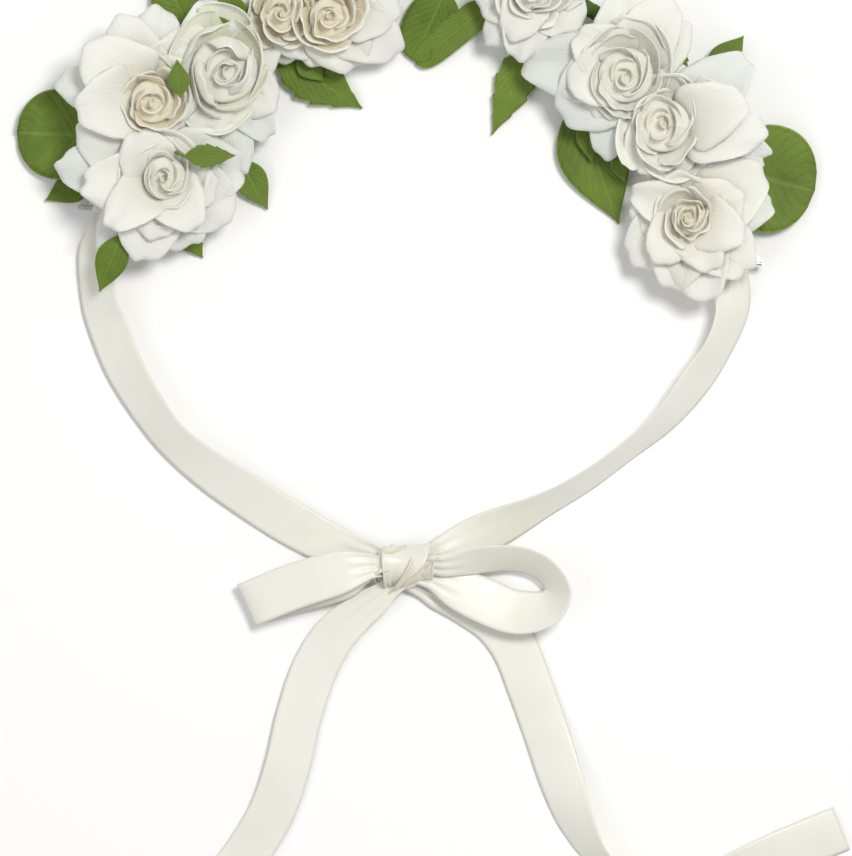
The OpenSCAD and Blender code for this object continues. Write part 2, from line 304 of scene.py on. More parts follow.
def satin_look():
    """Satin ribbon: long fine floats across a smooth face and a ribbed woven selvedge."""
    look = Look("satin_ribbon_look", 0.36, 0.42)
    look.set("Sheen Weight", 0.25)
    look.set("Sheen Roughness", 0.35)
    look.set("Subsurface Weight", 0.08)
    look.set("Subsurface Radius", (0.003, 0.003, 0.002))
    look.set("Subsurface Scale", 0.5)
    uv, across, along = look.uv()
    off_mid = look.math("ABSOLUTE", look.math("SUBTRACT", across, 0.5))
    cloud = look.noise(look.place(), 45, 3)
    base = look.ramp(cloud, [(0.25, (0.79, 0.78, 0.695)), (0.75, (0.845, 0.835, 0.765))])
    # Painted shade: cloth marked as shaded is mixed towards a darker warm ivory; knot wraps get more the
    # deeper they lie, the sewn sleeves a little
    shade_and_tint = look.attribute("shade_and_tint")
    base = look.blend(shade_and_tint, base, (0.70, 0.64, 0.46))
    look.feed(base, "Base Color")
    edge = look.math("GREATER_THAN", off_mid, 0.465)
    picks = look.math("FRACT", look.math("MULTIPLY", along, 1 / (RIB_PITCH * MM)))
    ribs = look.math("ABSOLUTE", look.math("SUBTRACT", picks, 0.5))
    selvedge = look.math("MULTIPLY", look.math("MULTIPLY", ribs, edge), 2.0)
    floats = look.noise(uv, 1.0, 2, 0.6, (160, 400, 1))
    first = look.bump(floats, 0.10, 0.0002)
    look.feed(look.bump(selvedge, 0.4, 0.0002, first), "Normal")
    return look.material


def tape_look():
    look = Look("florist_tape_look", 0.75, 0.25)
    cloud = look.noise(look.place(), 160, 4)
    look.feed(look.ramp(cloud, [(0.3, (0.035, 0.07, 0.012)), (0.7, (0.08, 0.14, 0.03))]), "Base Color")
    crepe = look.noise(look.place(), 1500, 4, 0.7, (1, 1, 0.3))
    look.feed(look.bump(crepe, 0.5, 0.0004), "Normal")
    return look.material


def plastic_look():
    look = Look("calyx_plastic_look", 0.48, 0.45)
    cloud = look.noise(look.place(), 220, 3)
    look.feed(look.ramp(cloud, [(0.3, (0.10, 0.19, 0.03)), (0.7, (0.16, 0.27, 0.05))]), "Base Color")
    grain = look.noise(look.place(), 900, 2)
    look.feed(look.bump(grain, 0.2, 0.0003), "Normal")
    return look.material


def wire_look():
    look = Look("band_wire_steel_look", 0.34, 0.5, 1.0)
    cloud = look.noise(look.place(), 400, 3)
    look.feed(look.ramp(cloud, [(0.3, (0.34, 0.35, 0.33)), (0.7, (0.52, 0.52, 0.50))]), "Base Color")
    drawn = look.noise(look.place(), 1200, 2, 0.5, (0.1, 1, 1))
    look.feed(look.bump(drawn, 0.2, 0.0002), "Normal")
    return look.material


# Each petal cloth: its colour at the foot (its dye, darkened and warmed as painted shade of the recess), on
# the body and at the rim, and where the foot's ends
PETAL_DYE_AND_SHADE = {
    "petal_white": ((0.70, 0.67, 0.45), (0.83, 0.82, 0.715), (0.875, 0.87, 0.805), 0.5),
    "petal_cream": ((0.56, 0.36, 0.14), (0.83, 0.745, 0.54), (0.87, 0.84, 0.72), 0.55),
    "petal_green_white": ((0.60, 0.63, 0.30), (0.83, 0.83, 0.67), (0.875, 0.875, 0.79), 0.5),
    "pale_heart": ((0.70, 0.60, 0.36), (0.84, 0.81, 0.67), (0.875, 0.87, 0.79), 0.5),
    "petal_ivory": ((0.64, 0.48, 0.24), (0.84, 0.81, 0.675), (0.875, 0.865, 0.79), 0.42),
}
LOOKS = {name: petal_look(f"{name}_look", *dye_and_shade) for name, dye_and_shade in PETAL_DYE_AND_SHADE.items()}
LOOKS["leaf_fabric"] = leaf_look()
LOOKS["satin_ribbon"] = satin_look()
LOOKS["florist_tape"] = tape_look()
LOOKS["calyx_plastic"] = plastic_look()
LOOKS["band_wire_steel"] = wire_look()


# ---------------------------------------------------------------- mesh building


class Sheet:
    """A set of curved sheets in millimetres, each a grid of points, made into one piece."""

    def __init__(self):
        self.points, self.faces, self.uvs, self.depths, self.shades_and_tints = [], [], [], [], []

    def grid(self, rows, place, shade_and_tint=0.5, closed=False):
        """rows holds rows of (point, (across, along), depth); place moves a point to the frame."""
        start, wide = len(self.points), len(rows[0])
        for row in rows:
            for point, uv, depth in row:
                self.points.append(place @ Vector(point))
                self.uvs.append(uv)
                self.depths.append(depth)
                self.shades_and_tints.append(shade_and_tint)
        for i in range(len(rows) - 1):
            for j in range(wide if closed else wide - 1):
                k = (j + 1) % wide
                a, b = start + i * wide + j, start + i * wide + k
                self.faces.append((a, b, b + wide, a + wide))

    def piece(self, name, slot, thickness, nodes, body, look=None):
        mesh = bpy.data.meshes.new(name)
        mesh.from_pydata([tuple(p * MM) for p in self.points], [], self.faces)
        layer = mesh.uv_layers.new(name="UVMap")
        for loop in mesh.loops:
            layer.data[loop.index].uv = self.uvs[loop.vertex_index]
        for key, values in (("depth", self.depths), ("shade_and_tint", self.shades_and_tints)):
            field = mesh.attributes.new(key, "FLOAT", "POINT")
            field.data.foreach_set("value", values)
        mesh.polygons.foreach_set("use_smooth", [True] * len(mesh.polygons))
        mesh.materials.append(look or LOOKS[slot])
        obj = bpy.data.objects.new(name, mesh)
        bpy.context.scene.collection.objects.link(obj)
        if thickness:
            shell = obj.modifiers.new("thickness", "SOLIDIFY")
            shell.thickness = thickness * MM
            shell.offset = 0
        if body:
            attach(obj, body)
        if nodes:
            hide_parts(*nodes)
        return obj


# ---------------------------------------------------------------- petals

PETAL_T = 0.14
PETAL_ROWS = 16
PETAL_COLUMNS = 18
STEPS = 24
# Where an open petal starts below its head, and how far each foot colour, dye with painted recess shade,
# runs from foot to rim
PETAL_FOOT = (1.4, -6.0)
OPEN_DEPTH = (0.3, 1.0)
CUP_DEPTH = (0.1, 1.0)
HEART_DEPTH = (0.0, 0.9)
RIM_START = 0.86


def outline(v, skew, notch):
    """How far a petal reaches at v across, from a round tip with an optional notch."""
    return 1 - 0.42 * abs(v) ** 2.3 - notch * math.exp(-((v - skew) / 0.16) ** 2)


def open_petal(sheet, place, rng, heading, reach, width, level, rise, droop, shade_and_tint, cup, ruffle, notch):
    """A round petal that leaves the calyx at rise degrees and ends at droop degrees."""
    line = [(PETAL_FOOT[0], PETAL_FOOT[1] + 0.5 * level)]
    length = reach / (math.cos(math.radians(0.6 * rise)) + 0.02)
    for k in range(STEPS):
        angle = math.radians(mix(rise, droop, smooth((k + 0.5) / STEPS)))
        step = length / STEPS
        line.append((line[-1][0] + step * math.cos(angle), line[-1][1] + step * math.sin(angle)))
    spin = Matrix.Rotation(math.radians(heading), 4, "Z")
    phase, waves = rng.uniform(0, 6.28), rng.uniform(1.1, 1.9)
    skew, twist = rng.uniform(-0.3, 0.3), rng.uniform(-0.06, 0.06)
    rows = []
    for i in range(PETAL_ROWS + 1):
        u = i / PETAL_ROWS
        row = []
        for j in range(PETAL_COLUMNS + 1):
            v = -1 + 2 * j / PETAL_COLUMNS
            wide = 0.2 + 0.8 * math.sin(min(1.0, u / 0.66) * math.pi / 2)
            wide *= 1 - 0.10 * smooth((u - 0.66) / 0.34)
            s = u * (outline(v, skew, notch) + 0.018 * math.sin(9 * v + phase)) * STEPS
            k = min(int(s), STEPS - 1)
            r = mix(line[k][0], line[k + 1][0], s - k)
            z = mix(line[k][1], line[k + 1][1], s - k)
            angle = math.radians(mix(rise, droop, smooth(s / STEPS)))
            bow = cup * width / 2 * v * v * math.sin(math.pi * min(0.8, u)) * wide
            bow += ruffle * math.sin(waves * math.pi * v + phase) * smooth((u - 0.25) / 0.75)
            edge = max(u, abs(v))
            bow -= 0.7 * smooth((edge - RIM_START) / (1 - RIM_START)) * u
            r -= math.sin(angle) * bow
            z += math.cos(angle) * bow + twist * v * width * u
            row.append(((r, v * width / 2 * wide, z), ((v + 1) / 2, u), mix(*OPEN_DEPTH, u)))
        rows.append(row)
    sheet.grid(rows, place @ spin, shade_and_tint)


def cup_petal(sheet, place, rng, heading, radius, foot_z, height, wrap, flare,
              spiral, ruffle, taper, shade_and_tint, squeeze, depth):
    """A petal rolled round the heart; spiral winds one side inwards, flare opens the rim."""
    spin = Matrix.Diagonal((squeeze, 1 / squeeze, 1, 1)) @ Matrix.Rotation(math.radians(heading), 4, "Z")
    phase, waves = rng.uniform(0, 6.28), rng.uniform(1.0, 2.0)
    skew = rng.uniform(-0.25, 0.25)
    rows = []
    for i in range(PETAL_ROWS + 1):
        u = i / PETAL_ROWS
        row = []
        for j in range(PETAL_COLUMNS + 1):
            v = -1 + 2 * j / PETAL_COLUMNS
            top = 1 - 0.30 * abs(v - skew) ** 2.4 + 0.012 * math.sin(8 * v + phase)
            angle = math.radians(wrap / 2) * v * (0.7 + 0.3 * math.sin(math.pi * min(1, 0.25 + 0.75 * u)))
            r = radius * mix(taper, 1.0, math.sin(min(1.0, u / 0.75) * math.pi / 2))
            r += flare * u ** 3 + spiral * v * smooth(u / 0.4)
            r += ruffle * math.sin(waves * math.pi * v + phase) * u * u
            roll = smooth((u - RIM_START) / (1 - RIM_START))
            r += 0.35 * roll
            z = foot_z + height * u * top - 0.3 * roll
            point = (r * math.cos(angle), r * math.sin(angle), z)
            row.append((point, ((v + 1) / 2, u), mix(*depth, u * top)))
        rows.append(row)
    sheet.grid(rows, place @ spin, shade_and_tint)


# One row for each rose: middle of the head, the heading and lean of its face, radius of its
# cup, how oval the cup is, kind, then its open petals: heading, reach, width, level, and how lit it is
# painted (lower values are painted in shade)
ROSES = [
    ((-72.6, 9.2, 17.5), 330, 8, 9.4, 0.94, "white", [
        (178, 28, 18, 0, 0.2), (153, 25.5, 18, 1, 0.6), (236, 25, 15, 0, 0.1), (262, 23, 20, 1, 0.7),
        (300, 20.5, 22, 0, 0.15), (338, 22.5, 22, 1, 0.7), (12, 23.5, 22, 0, 0.6), (40, 19, 18, 1, 0.7),
        (192, 21, 18, 3, 0.9), (226, 19, 15, 4, 1.0), (268, 16, 17, 3, 0.9), (312, 16, 17, 4, 0.8),
        (350, 15, 18, 3, 0.9), (80, 12, 20, 3, 0.9), (128, 14, 17, 4, 0.9)]),
    ((-77.3, 30.8, 19.0), 320, 6, 9.6, 1.0, "cream", [
        (88, 24.5, 19, 0, 0.6), (114, 23, 18, 1, 0.7), (176, 25, 16, 0, 0.1), (146, 21.5, 22, 3, 0.9),
        (196, 19.5, 21, 4, 0.9), (250, 13, 24, 3, 0.9), (300, 12, 20, 2, 0.8), (30, 14, 20, 2, 0.7),
        (60, 18, 18, 1, 0.8)]),
    ((-59.5, 40.6, 17.5), 315, 8, 14.5, 0.90, "ranunculus", [
        (289, 30, 13, 0, 0.3), (312, 24, 14, 0, 0.1), (265, 19, 16, 1, 0.7), (330, 19, 18, 1, 0.8),
        (30, 18, 20, 0, 0.7), (100, 18, 20, 0, 0.8), (170, 17, 20, 1, 0.8)]),
    ((-42.6, 57.2, 16.5), 300, 12, 8.2, 0.95, "cream", [
        (200, 15, 17, 0, 0.8), (235, 14, 16, 1, 0.7), (270, 14, 17, 0, 0.9), (310, 14, 16, 1, 0.8),
        (120, 17, 18, 0, 0.8), (160, 15, 17, 1, 0.8), (70, 17, 18, 0, 0.8)]),
    ((-30.6, 58.2, 17.0), 295, 12, 8.8, 1.05, "cream", [
        (336, 22.5, 19, 0, 0.7), (300, 17, 20, 1, 0.9), (262, 15, 17, 0, 0.8), (230, 13, 15, 1, 0.8),
        (10, 20, 18, 1, 0.6), (50, 18, 18, 0, 0.8), (100, 18, 18, 1, 0.8)]),
    ((-3.4, 83.6, 17.5), 270, 5, 8.0, 1.0, "white", [
        (20, 16, 18, 0, 0.8), (80, 13, 18, 1, 0.8), (140, 14, 18, 0, 0.8), (200, 16, 18, 1, 0.8),
        (255, 15, 18, 0, 0.7), (310, 15, 18, 1, 0.8)]),
    ((25.4, 70.0, 18.0), 255, 9, 8.4, 1.0, "white", [
        (262, 20, 15, 1, 0.8), (236, 20.5, 13, 0, 0.3), (290, 17, 17, 0, 0.8), (205, 16, 18, 1, 0.8),
        (320, 16, 18, 1, 0.8), (20, 17, 18, 0, 0.8), (80, 17, 18, 1, 0.8), (140, 17, 18, 0, 0.8),
        (250, 15, 14, 3, 0.9)]),
    ((52.4, 49.6, 18.5), 225, 8, 12.0, 0.93, "pale", [
        (182, 29, 20, 0, 0.15), (222, 22, 23, 1, 0.1), (260, 25, 16, 0, 0.1), (42, 20, 18, 0, 0.8),
        (62, 22, 18, 1, 0.8), (100, 20, 19, 0, 0.8), (200, 16, 18, 3, 0.9), (245, 15, 18, 2, 0.9),
        (300, 12, 18, 1, 0.8), (150, 16, 18, 2, 0.9)]),
    ((65.3, 34.5, 19.0), 200, 8, 11.6, 0.88, "white", [
        (2, 26, 19, 2, 0.8), (348, 28, 16, 0, 0.0), (46, 28, 20, 0, 0.1), (24, 22, 19, 3, 0.9),
        (88, 17, 16, 0, 0.2), (262, 14, 19, 1, 0.9), (232, 14, 18, 2, 0.9), (300, 13, 18, 0, 0.8),
        (130, 13, 17, 1, 0.8), (180, 12, 18, 2, 0.9)]),
    ((72.4, 11.4, 17.5), 195, 8, 7.8, 0.92, "cream_white", [
        (70, 20.5, 14, 0, 0.8), (34, 23, 23, 1, 0.9), (10, 22.5, 16, 0, 0.4), (322, 22.5, 20, 1, 0.9),
        (286, 24, 20, 0, 0.8), (262, 20.5, 18, 1, 0.9), (222, 20, 19, 0, 0.8), (184, 15, 16, 1, 0.9),
        (162, 16, 13, 2, 0.9), (300, 16, 16, 3, 1.0), (340, 16, 16, 4, 1.0), (22, 15, 17, 3, 1.0),
        (240, 15, 15, 3, 1.0)]),
]
KIND_SLOTS = {
    "white": ("petal_white", "petal_white", "petal_cream"),
    "cream": ("petal_white", "petal_cream", "petal_cream"),
    "cream_white": ("petal_cream", "petal_cream", "petal_cream"),
    "pale": ("petal_white", "petal_white", "petal_green_white"),
    "ranunculus": ("petal_white", "petal_green_white", "petal_green_white"),
}
# Where a rose's cloth is a paler dye of its slot
KIND_LOOKS = {
    ("white", "bud"): "pale_heart",
    ("cream_white", "outer_petals"): "petal_ivory",
    ("cream_white", "inner_petals"): "petal_ivory",
}
# Rings of cupped petals for each kind: count, share of the cup's radius, foot, height, wrap, flare
KIND_RINGS = {
    "white": [
        (4, 1.15, -4.8, 6.6, 110, 1.4), (4, 0.86, -4.0, 8.0, 122, 0.6), (3, 0.58, -3.0, 8.6, 140, 0.2)],
    "cream": [
        (5, 1.05, -4.8, 7.0, 98, 1.0), (4, 0.82, -4.0, 8.4, 118, 0.7), (4, 0.60, -3.0, 8.8, 128, 0.4)],
    "cream_white": [
        (4, 1.15, -4.8, 7.0, 112, 1.4), (4, 0.84, -4.0, 8.4, 118, 0.6), (3, 0.58, -3.0, 9.0, 140, 0.3)],
    "pale": [
        (5, 1.05, -4.8, 6.4, 110, 0.6), (4, 0.84, -4.0, 8.4, 124, -0.2), (3, 0.58, -3.0, 8.8, 140, -0.2)],
    "ranunculus": [
        (5, 1.0, -5.5, 7.6, 104, 0.2), (4, 0.86, -4.6, 9.8, 108, -2.0), (3, 0.66, -3.6, 10.6, 116, -2.8),
        (2, 0.40, -3.0, 10.2, 150, -1.6)],
}
HEART_COUNT = 5
# Turn from one ring of a cup to the next, and from one heart petal to the next
RING_TURN = 43
HEART_TURN = 137
# How far each ring of a cup sits aside of the one outside it, and each petal of its ring,
# as shares of the cup's radius
CUP_ASIDE = 0.07
CUP_SHIFT = 0.15
FLOOR_Z = 2.6
FLOOR_RINGS = 8
FLOOR_SIDES = 32


def rose_place(row):
    middle, heading, lean = row[:3]
    turn = Matrix.Rotation(math.radians(heading), 4, "Z")
    return Matrix.Translation(middle) @ turn @ Matrix.Rotation(math.radians(lean), 4, "Y") @ turn.inverted()


def loose(rng, size):
    """A small shift and lean, so no two petals of a cup sit alike."""
    shift = Matrix.Translation(polar(rng.uniform(0, CUP_SHIFT * size), rng.uniform(0, 360)))
    return shift @ Matrix.Rotation(math.radians(rng.uniform(2, 9)), 4, polar(1, rng.uniform(0, 360)))


def heart_floor(sheet, place, radius):
    """Crumpled cloth that fills the foot of the heart between its petals."""
    rows = []
    for i in range(FLOOR_RINGS + 1):
        out = i / FLOOR_RINGS
        row = []
        for j in range(FLOOR_SIDES):
            a = 2 * math.pi * j / FLOOR_SIDES
            r = max(0.02, radius * i / FLOOR_RINGS)
            z = FLOOR_Z - 1.4 * out ** 2 + 0.35 * math.sin(5 * a + 4 * i / FLOOR_RINGS) * i / FLOOR_RINGS
            row.append(((r * math.cos(a), r * math.sin(a), z), (j / FLOOR_SIDES, out), 0.75))
        rows.append(row)
    sheet.grid(rows, place, 0.9, closed=True)


def make_rose(index, row):
    rng = random.Random(100 + index)
    place = rose_place(row)
    cup_r, squeeze, kind, petals = row[3:]
    outer, inner, heart = Sheet(), Sheet(), Sheet()
    for heading, reach, width, level, shade_and_tint in petals:
        open_petal(outer, place, rng, heading, reach, width, level, 20 + 8 * level + rng.uniform(-3, 3),
                   -14 + 4 * level + rng.uniform(-5, 5), shade_and_tint=shade_and_tint, cup=rng.uniform(0.14, 0.30),
                   ruffle=rng.uniform(0.5, 1.1), notch=rng.choice((0.0, 0.0, 0.05)))
    aside = polar(CUP_ASIDE * cup_r, rng.uniform(0, 360))
    # Cup and heart petals get a random amount of painted shade
    for layer, (count, share, foot_z, height, wrap, flare) in enumerate(KIND_RINGS[kind]):
        for k in range(count):
            seat = place @ loose(rng, cup_r) @ Matrix.Translation(aside * layer)
            cup_petal(inner, seat, rng, k * 360 / count + layer * RING_TURN + rng.uniform(-10, 10),
                      radius=share * cup_r * rng.uniform(0.95, 1.04), foot_z=foot_z,
                      height=height * rng.uniform(0.92, 1.06), wrap=wrap * rng.uniform(0.9, 1.12),
                      flare=flare * rng.uniform(0.6, 1.4), spiral=0.9, ruffle=rng.uniform(0.15, 0.5),
                      taper=0.22, shade_and_tint=rng.uniform(0.6, 1.0), squeeze=squeeze, depth=CUP_DEPTH)
    for k in range(HEART_COUNT):
        t = k / (HEART_COUNT - 1)
        seat = place @ Matrix.Translation(aside * 2) @ loose(rng, 0.6 * cup_r)
        cup_petal(heart, seat, rng, k * HEART_TURN, radius=mix(0.40, 0.09, t) * cup_r, foot_z=-2.5,
                  height=8.4 + 0.4 * t, wrap=mix(165, 260, t), flare=mix(0.4, 0.1, t),
                  spiral=mix(0.8, 0.25, t), ruffle=0.12, taper=0.4, shade_and_tint=rng.uniform(0.6, 1.0),
                  squeeze=squeeze, depth=HEART_DEPTH)
    heart_floor(heart, place @ Matrix.Translation(aside * 2), 0.62 * cup_r)
    name = f"rose_{index + 1}"
    parts = ((outer, "outer_petals"), (inner, "inner_petals"), (heart, "bud"))
    for (sheet, part), slot in zip(parts, KIND_SLOTS[kind]):
        look = LOOKS.get(KIND_LOOKS.get((kind, part)))
        sheet.piece(f"{name}_{part}_cloth", slot, PETAL_T, [f"{name}_{part}"], "root", look)


# ---------------------------------------------------------------- leaves

# One list for each spray, as in the frame: foot x, y, z, heading, length, width, droop, kind
SPRAYS = [
    [(-91, 20, 2, 182, 23, 25, 0, "oval"), (-92, 9, 0.6, 212, 15, 9, 0, "pointed"),
     (-82, -7, 13.5, 253, 17, 9, 8, "pointed")],
    [(-70, 1, 2.6, 310, 16, 10, 8, "serrated"), (-66.3, 15.4, 21, 6, 14, 7, 6, "serrated")],
    [(-68.6, 31.6, 22.5, 100, 10, 6, 0, "pointed"), (-68, 51, 3, 122, 17, 14, 0, "oval")],
    [(-52, 17, 2.4, 304, 16, 9, 6, "pointed"), (-45, 47, 2.6, 333, 29, 15, 4, "serrated")],
    [(-60.5, 61, 16, 310, 15, 8, 10, "pointed"), (-38, 47, 4.4, 318, 10, 7, 4, "pointed")],
    [(-15, 66, 9, 215, 11, 8, 10, "pointed"), (1, 68, 1.4, 250, 21, 15, 0, "oval"),
     (14, 66, 3, 224, 27, 9, 4, "round")],
    [(27, 58, 2, 251, 30, 12, 2, "serrated"), (39, 66, 11, 238, 15, 9, 12, "serrated")],
    [(39, 41, 2, 295, 36.5, 20, 2, "pointed"), (43, 36, 5, 281, 12, 7, 4, "pointed"),
     (65, 48, 3.2, 84, 13, 9, 0, "serrated"), (76, 50, 4, 56, 15, 9, 0, "pointed")],
    [(82, 26, 1.8, 350, 26, 30, 0, "oval"), (52, 27, 7, 290, 8, 5, 6, "pointed")],
]
LEAF_T = 0.35
STALK_SHARE = 0.75
STALK_LIFT = 0.3
STALK_R = (0.5, 0.18)
LEAF_ROWS = 36
LEAF_COLUMNS = 10


def leaf_width(kind, u, rng_phase):
    if kind == "oval":
        wide = math.sqrt(max(0.0, 1 - abs(2 * u - 1) ** 2.2))
    elif kind == "round":
        wide = min(1.0, math.sqrt(max(0.0, u * 5))) * math.sqrt(max(0.0, 1 - u ** 9)) * 0.94
    else:
        wide = math.sin(math.pi * u ** 0.8) ** 1.15 if 0 < u < 1 else 0.0
    if kind == "serrated":
        tooth = (u * 5.5 + rng_phase) % 1.0
        wide *= 1 - 0.16 * tooth
    return max(wide, 0.015)


def make_leaf(sheet, leaf, rng):
    x, y, z, heading, length, width, droop, kind = leaf
    place = Matrix.Translation((x, y, z)) @ Matrix.Rotation(math.radians(heading), 4, "Z")
    phase = rng.uniform(0, 1)
    fold, bend = rng.uniform(0.05, 0.14), rng.uniform(-0.04, 0.05)
    rows = []
    for i in range(LEAF_ROWS + 1):
        u = i / LEAF_ROWS
        angle = math.radians(droop) * u
        row = []
        for j in range(LEAF_COLUMNS + 1):
            v = -1 + 2 * j / LEAF_COLUMNS
            half = width / 2 * leaf_width(kind, u, phase + (0.4 if v > 0 else 0))
            lift = fold * abs(v) * half + 0.25 * math.sin(5 * u + 3 * phase) * v * v
            lift += bend * width * u * v
            row.append(((length * u * math.cos(angle), v * half, 0.5 + lift - length * u * math.sin(angle)),
                        ((v + 1) / 2, u), u))
        rows.append(row)
    sheet.grid(rows, place, rng.uniform(0.0, 0.5))


STALK_SIDES = 8
STALK_TONE = 0.3


def tube(sheet, points, radius):
    """A round stalk along points, whose radius is a function of the share of the way along."""
    rows = []
    for i, p in enumerate(points):
        run = (points[min(i + 1, len(points) - 1)] - points[max(i - 1, 0)]).normalized()
        side = run.cross(Vector((0, 0, 1)))
        side = side.normalized() if side.length > 0.01 else Vector((1, 0, 0))
        up = side.cross(run)
        r = radius(i / (len(points) - 1))
        row = []
        for k in range(STALK_SIDES):
            a = 2 * math.pi * k / STALK_SIDES
            row.append((p + side * r * math.cos(a) + up * r * math.sin(a), (k / STALK_SIDES, i), 0.5))
        rows.append(row)
    sheet.grid(rows, Matrix.Identity(4), STALK_TONE, closed=True)


def make_spray(index, leaves):
    rng = random.Random(300 + index)
    name = f"leaf_spray_{index + 1}"
    blades = Sheet()
    for leaf in leaves:
        make_leaf(blades, leaf, rng)
    blades.piece(f"{name}_cloth", "leaf_fabric", LEAF_T, [name], "root")
    stalks = Sheet()
    for x, y, z, heading, length, _, droop, _ in leaves:
        start = Vector((x, y, z)) + Vector((0, 0, STALK_LIFT))
        foot = Vector((x, y, z)) + polar(length * STALK_SHARE, heading) + Vector((0, 0, STALK_LIFT))
        foot.z -= length * STALK_SHARE * math.sin(math.radians(droop))
        grip = band_point(math.degrees(math.atan2(y - BAND_Y, x)))
        points = [grip, mix(grip, start, 0.5), start, mix(start, foot, 0.5), foot]
        tube(stalks, points, lambda t: mix(*STALK_R, t))
    stalks.piece(f"{name}_stalks", "leaf_fabric", 0, [], "root")


# ---------------------------------------------------------------- band


TAPE_STEPS = 520
TAPE_SIDES = 20
TAPE_TURNS = 38
TAPE_LAP = 0.22
TAPE_NECK = 0.85


def make_tape():
    """Crepe tape wound round the band in overlapping turns."""
    sheet = Sheet()
    rows = []
    for i in range(TAPE_STEPS + 1):
        t = i / TAPE_STEPS
        at = mix(TAPE_END, 180 - TAPE_END, t)
        middle, out = band_point(at), polar(1, at)
        row = []
        for k in range(TAPE_SIDES):
            a = 2 * math.pi * k / TAPE_SIDES
            lap = (TAPE_TURNS * t + k / TAPE_SIDES) % 1.0
            r = TAPE_R - TAPE_LAP + TAPE_LAP * lap
            if i in (0, TAPE_STEPS):
                r = TAPE_NECK
            p = middle + out * (r * math.cos(a)) + Vector((0, 0, r * math.sin(a)))
            row.append((p, (k / TAPE_SIDES, t * 50), 0.5))
        rows.append(row)
    sheet.grid(rows, Matrix.Identity(4), 0.5, closed=True)
    sheet.piece("band_tape_wrap", "florist_tape", 0, ["band_tape"], "root")


# ---------------------------------------------------------------- ribbons

RIBBON_W = 12.7
RIBBON_T = 0.2
# Routes, as in the frame: x, y, z, then the heading and tilt of the width, then its share
LEFT_TIE = [
    (-86.6, -1.3, 5.5, 180, 0, 0.71), (-86.6, -5, 5.2, 180, 0, 0.76),
    (-88.6, -13, 4.8, 188, -22, 0.95), (-87.5, -25, 5, 200, -37, 1),
    (-84, -33, 4.2, 206, -28, 1), (-79, -43, 4.4, 212, -30, 1),
    (-72, -53, 4.9, 218, -36, 1), (-64, -62, 5.2, 226, -40, 1),
    (-54, -69, 4.4, 235, -30, 1), (-42.2, -75.6, 3, 240, -17, 1),
    (-29, -82.5, 2.2, 243, -12, 1), (-17, -87.5, 2.2, 248, -4, 0.87),
    (-7, -90, 3.2, 254, 0, 0.63), (-1.4, -91.4, 4, 258, 0, 0.47),
]
RIGHT_TIE = [
    (86.6, -1.3, 5.5, 0, 0, 0.71), (86.6, -5, 5.3, 0, 0, 0.76),
    (87.4, -14, 5.6, -10, -38, 0.95), (84.5, -24, 5.8, -20, -50, 1),
    (79, -34, 5.6, -30, -46, 1), (71.5, -45, 6.1, -38, -56, 1),
    (62, -54.5, 6.4, -46, -64, 1), (51, -64, 6.3, -50, -62, 1),
    (40, -71.5, 5.9, -55, -56, 1), (29, -78, 4.6, -60, -34, 1),
    (20, -83, 3.8, -62, -10, 0.87), (12.5, -87, 4.6, -60, 0, 0.63),
    (7, -90, 5, -56, 0, 0.47),
]
LEFT_LOOP = [
    (-4.6, -92.2, 9, 110, 0, 0.47), (-8, -92.6, 9.8, 110, 0, 0.63), (-15, -94.8, 10.4, 112, 0, 0.94),
    (-27, -99.6, 9.2, 116, 0, 1), (-36.5, -104.4, 7.2, 120, 0, 1),
    (-39.5, -106, 5, 120, 0, 1), (-36.5, -104.6, 3, 120, 0, 1),
    (-26, -100.6, 3.4, 114, 0, 1), (-14, -96.6, 5.2, 110, 0, 0.9),
    (-9, -94.4, 6.2, 110, 0, 0.6), (-5, -93, 6.8, 110, 0, 0.39),
]
RIGHT_LOOP = [
    (10.4, -90.6, 8.4, 92, 20, 0.47), (14.6, -90.4, 8.8, 92, 34, 0.63),
    (23.5, -88.2, 8.6, 90, 48, 0.94), (32.5, -86.9, 8.3, 80, 54, 1),
    (39.6, -88.2, 8.2, 62, 57, 1), (44.3, -91.8, 8, 34, 58, 1), (45.8, -96, 7.6, 2, 54, 1),
    (42.6, -100.2, 6.8, -42, 40, 1), (34.4, -101.6, 5.6, -74, 18, 1),
    (25, -98.9, 5.2, -98, 10, 1), (17, -96.4, 5.4, -102, 5, 0.82),
    (10.8, -94.6, 5.6, -104, 0, 0.45),
]
LEFT_TAIL = [
    (-0.9, -98.4, 4.4, 142, 0, 0.47), (-4, -101.6, 4, 140, 0, 0.63), (-9, -106, 3, 142, 0, 0.79),
    (-15, -113, 2, 150, 0, 0.94), (-19.6, -123, 1.4, 158, 2, 1),
    (-22.6, -136, 1.6, 166, 6, 1), (-24.6, -150, 2, 170, 8, 1),
    (-28, -163, 1.6, 160, 4, 1), (-34, -175, 1, 150, 0, 1),
    (-42, -187, 0.8, 142, 0, 1), (-53, -198, 0.8, 132, 0, 1),
    (-65, -207, 0.8, 124, 0, 1),
]
RIGHT_TAIL = [
    (8.4, -97.6, 2, 62, 0, 0.39), (13, -99, 1.4, 66, 0, 0.63), (21, -101, 1, 66, 0, 0.87),
    (29.4, -105, 0.8, 52, 0, 1), (35.6, -112, 0.8, 34, 0, 1),
    (40.6, -122, 0.8, 24, 0, 1), (46, -134, 1, 22, 4, 1),
    (51.4, -147, 2.2, 22, 16, 1), (56.6, -158.4, 4, 28, 40, 1),
    (64.4, -168.4, 6, 44, 62, 1), (76, -174.6, 6.4, 76, 66, 1),
    (90, -173, 5.2, 104, 46, 1), (104, -167, 3, 112, 20, 1),
    (116, -161, 1.6, 116, 6, 1), (130, -154, 1, 118, 0, 1),
]
